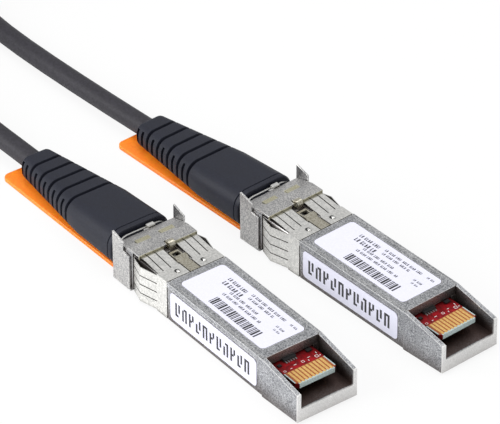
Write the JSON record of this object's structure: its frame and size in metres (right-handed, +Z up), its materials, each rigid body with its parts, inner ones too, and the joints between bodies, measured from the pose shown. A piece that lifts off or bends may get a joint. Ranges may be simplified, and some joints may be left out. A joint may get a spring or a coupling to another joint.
{
  "type": "direct attach copper cable",
  "caption": "Pluggable network cable: metal-shelled plugs with spring collars, latch and orange pull tab on ribbed boots, joined by a round twin-axial cable folded in a tied hank.",
  "frame": {"origin": "bottom centre of the box round both plugs, on the surface they lie on", "axes": "+Z up from the surface, +X along the first plug towards its nose, +Y towards the second plug"},
  "size_m": [0.2663, 0.0509, 0.0272],
  "materials": {
    "casting": "cast nickel-plated zinc, fine grain",
    "steel": "satin sheet",
    "spring_sheet": "bright spring sheet",
    "latch_steel": "satin",
    "tab": "smooth flexible sheet",
    "board": "solder mask",
    "gold": "bright plated",
    "chip": "matt moulded",
    "core": "foil wrapped",
    "brass": "plain",
    "jacket": "matt",
    "boot": "matt moulded",
    "label": "printed film, blank",
    "tie": "woven strap"
  },
  "bodies": {
    "cable_and_shells": {"base_shell_a": "casting", "base_shell_b": "casting", "cable_cores_a": "core", "cable_cores_b": "core", "cable_hank": "jacket", "cable_run_a": "jacket", "cable_run_b": "jacket", "cable_stub_a": "jacket", "cable_stub_b": "jacket", "card_chips_a": "chip", "card_chips_b": "chip", "contact_pads_a": "gold", "contact_pads_b": "gold", "emi_collar_a": "spring_sheet", "emi_collar_b": "spring_sheet", "ferrule_a": "brass", "ferrule_b": "brass", "hank_tie": "tie", "head_cover_a": "casting", "head_cover_b": "casting", "lid_a": "casting", "lid_b": "casting", "paddle_card_a": "board", "paddle_card_b": "board", "pawl_pin_a": "latch_steel", "pawl_pin_b": "latch_steel", "pawl_spring_a": "latch_steel", "pawl_spring_b": "latch_steel", "retaining_plate_a": "steel", "retaining_plate_b": "steel", "return_spring_left_a": "latch_steel", "return_spring_left_b": "latch_steel", "return_spring_right_a": "latch_steel", "return_spring_right_b": "latch_steel", "side_label_a": "label", "side_label_b": "label", "strain_boot_a": "boot", "strain_boot_b": "boot", "top_label_a": "label", "top_label_b": "label"},
    "slider_a": {"pull_tab_a": "tab", "release_slider_a": "steel"},
    "pawl_a": {"latch_pawl_a": "latch_steel"},
    "slider_b": {"pull_tab_b": "tab", "release_slider_b": "steel"},
    "pawl_b": {"latch_pawl_b": "latch_steel"}
  },
  "joints": [
    {"name": "slider_a_pull", "type": "slide", "parent": "cable_and_shells", "child": "slider_a", "axis": [-1, 0, 0], "range_m": [0, 0.002], "stiffness_N_per_m": 200, "deforming": ["return_spring_left_a", "return_spring_right_a"]},
    {"name": "pawl_a_turn", "type": "hinge", "parent": "cable_and_shells", "child": "pawl_a", "pos_m": [0.00497, -0.01443, 0.00755], "axis": [0, -1, 0], "range_deg": [0, 6.6]},
    {"name": "slider_b_pull", "type": "slide", "parent": "cable_and_shells", "child": "slider_b", "axis": [-0.9981, -0.061, 0], "range_m": [0, 0.002], "stiffness_N_per_m": 200, "deforming": ["return_spring_left_b", "return_spring_right_b"]},
    {"name": "pawl_b_turn", "type": "hinge", "parent": "cable_and_shells", "child": "pawl_b", "pos_m": [0.00904, 0.01284, 0.00755], "axis": [0.061, -0.9981, 0], "range_deg": [0, 6.6]}
  ],
  "couplings": [
    {"joint": "pawl_a_turn", "follows": "slider_a_pull", "rad_per_m": 56.7},
    {"joint": "pawl_b_turn", "follows": "slider_b_pull", "rad_per_m": 56.7}
  ]
}
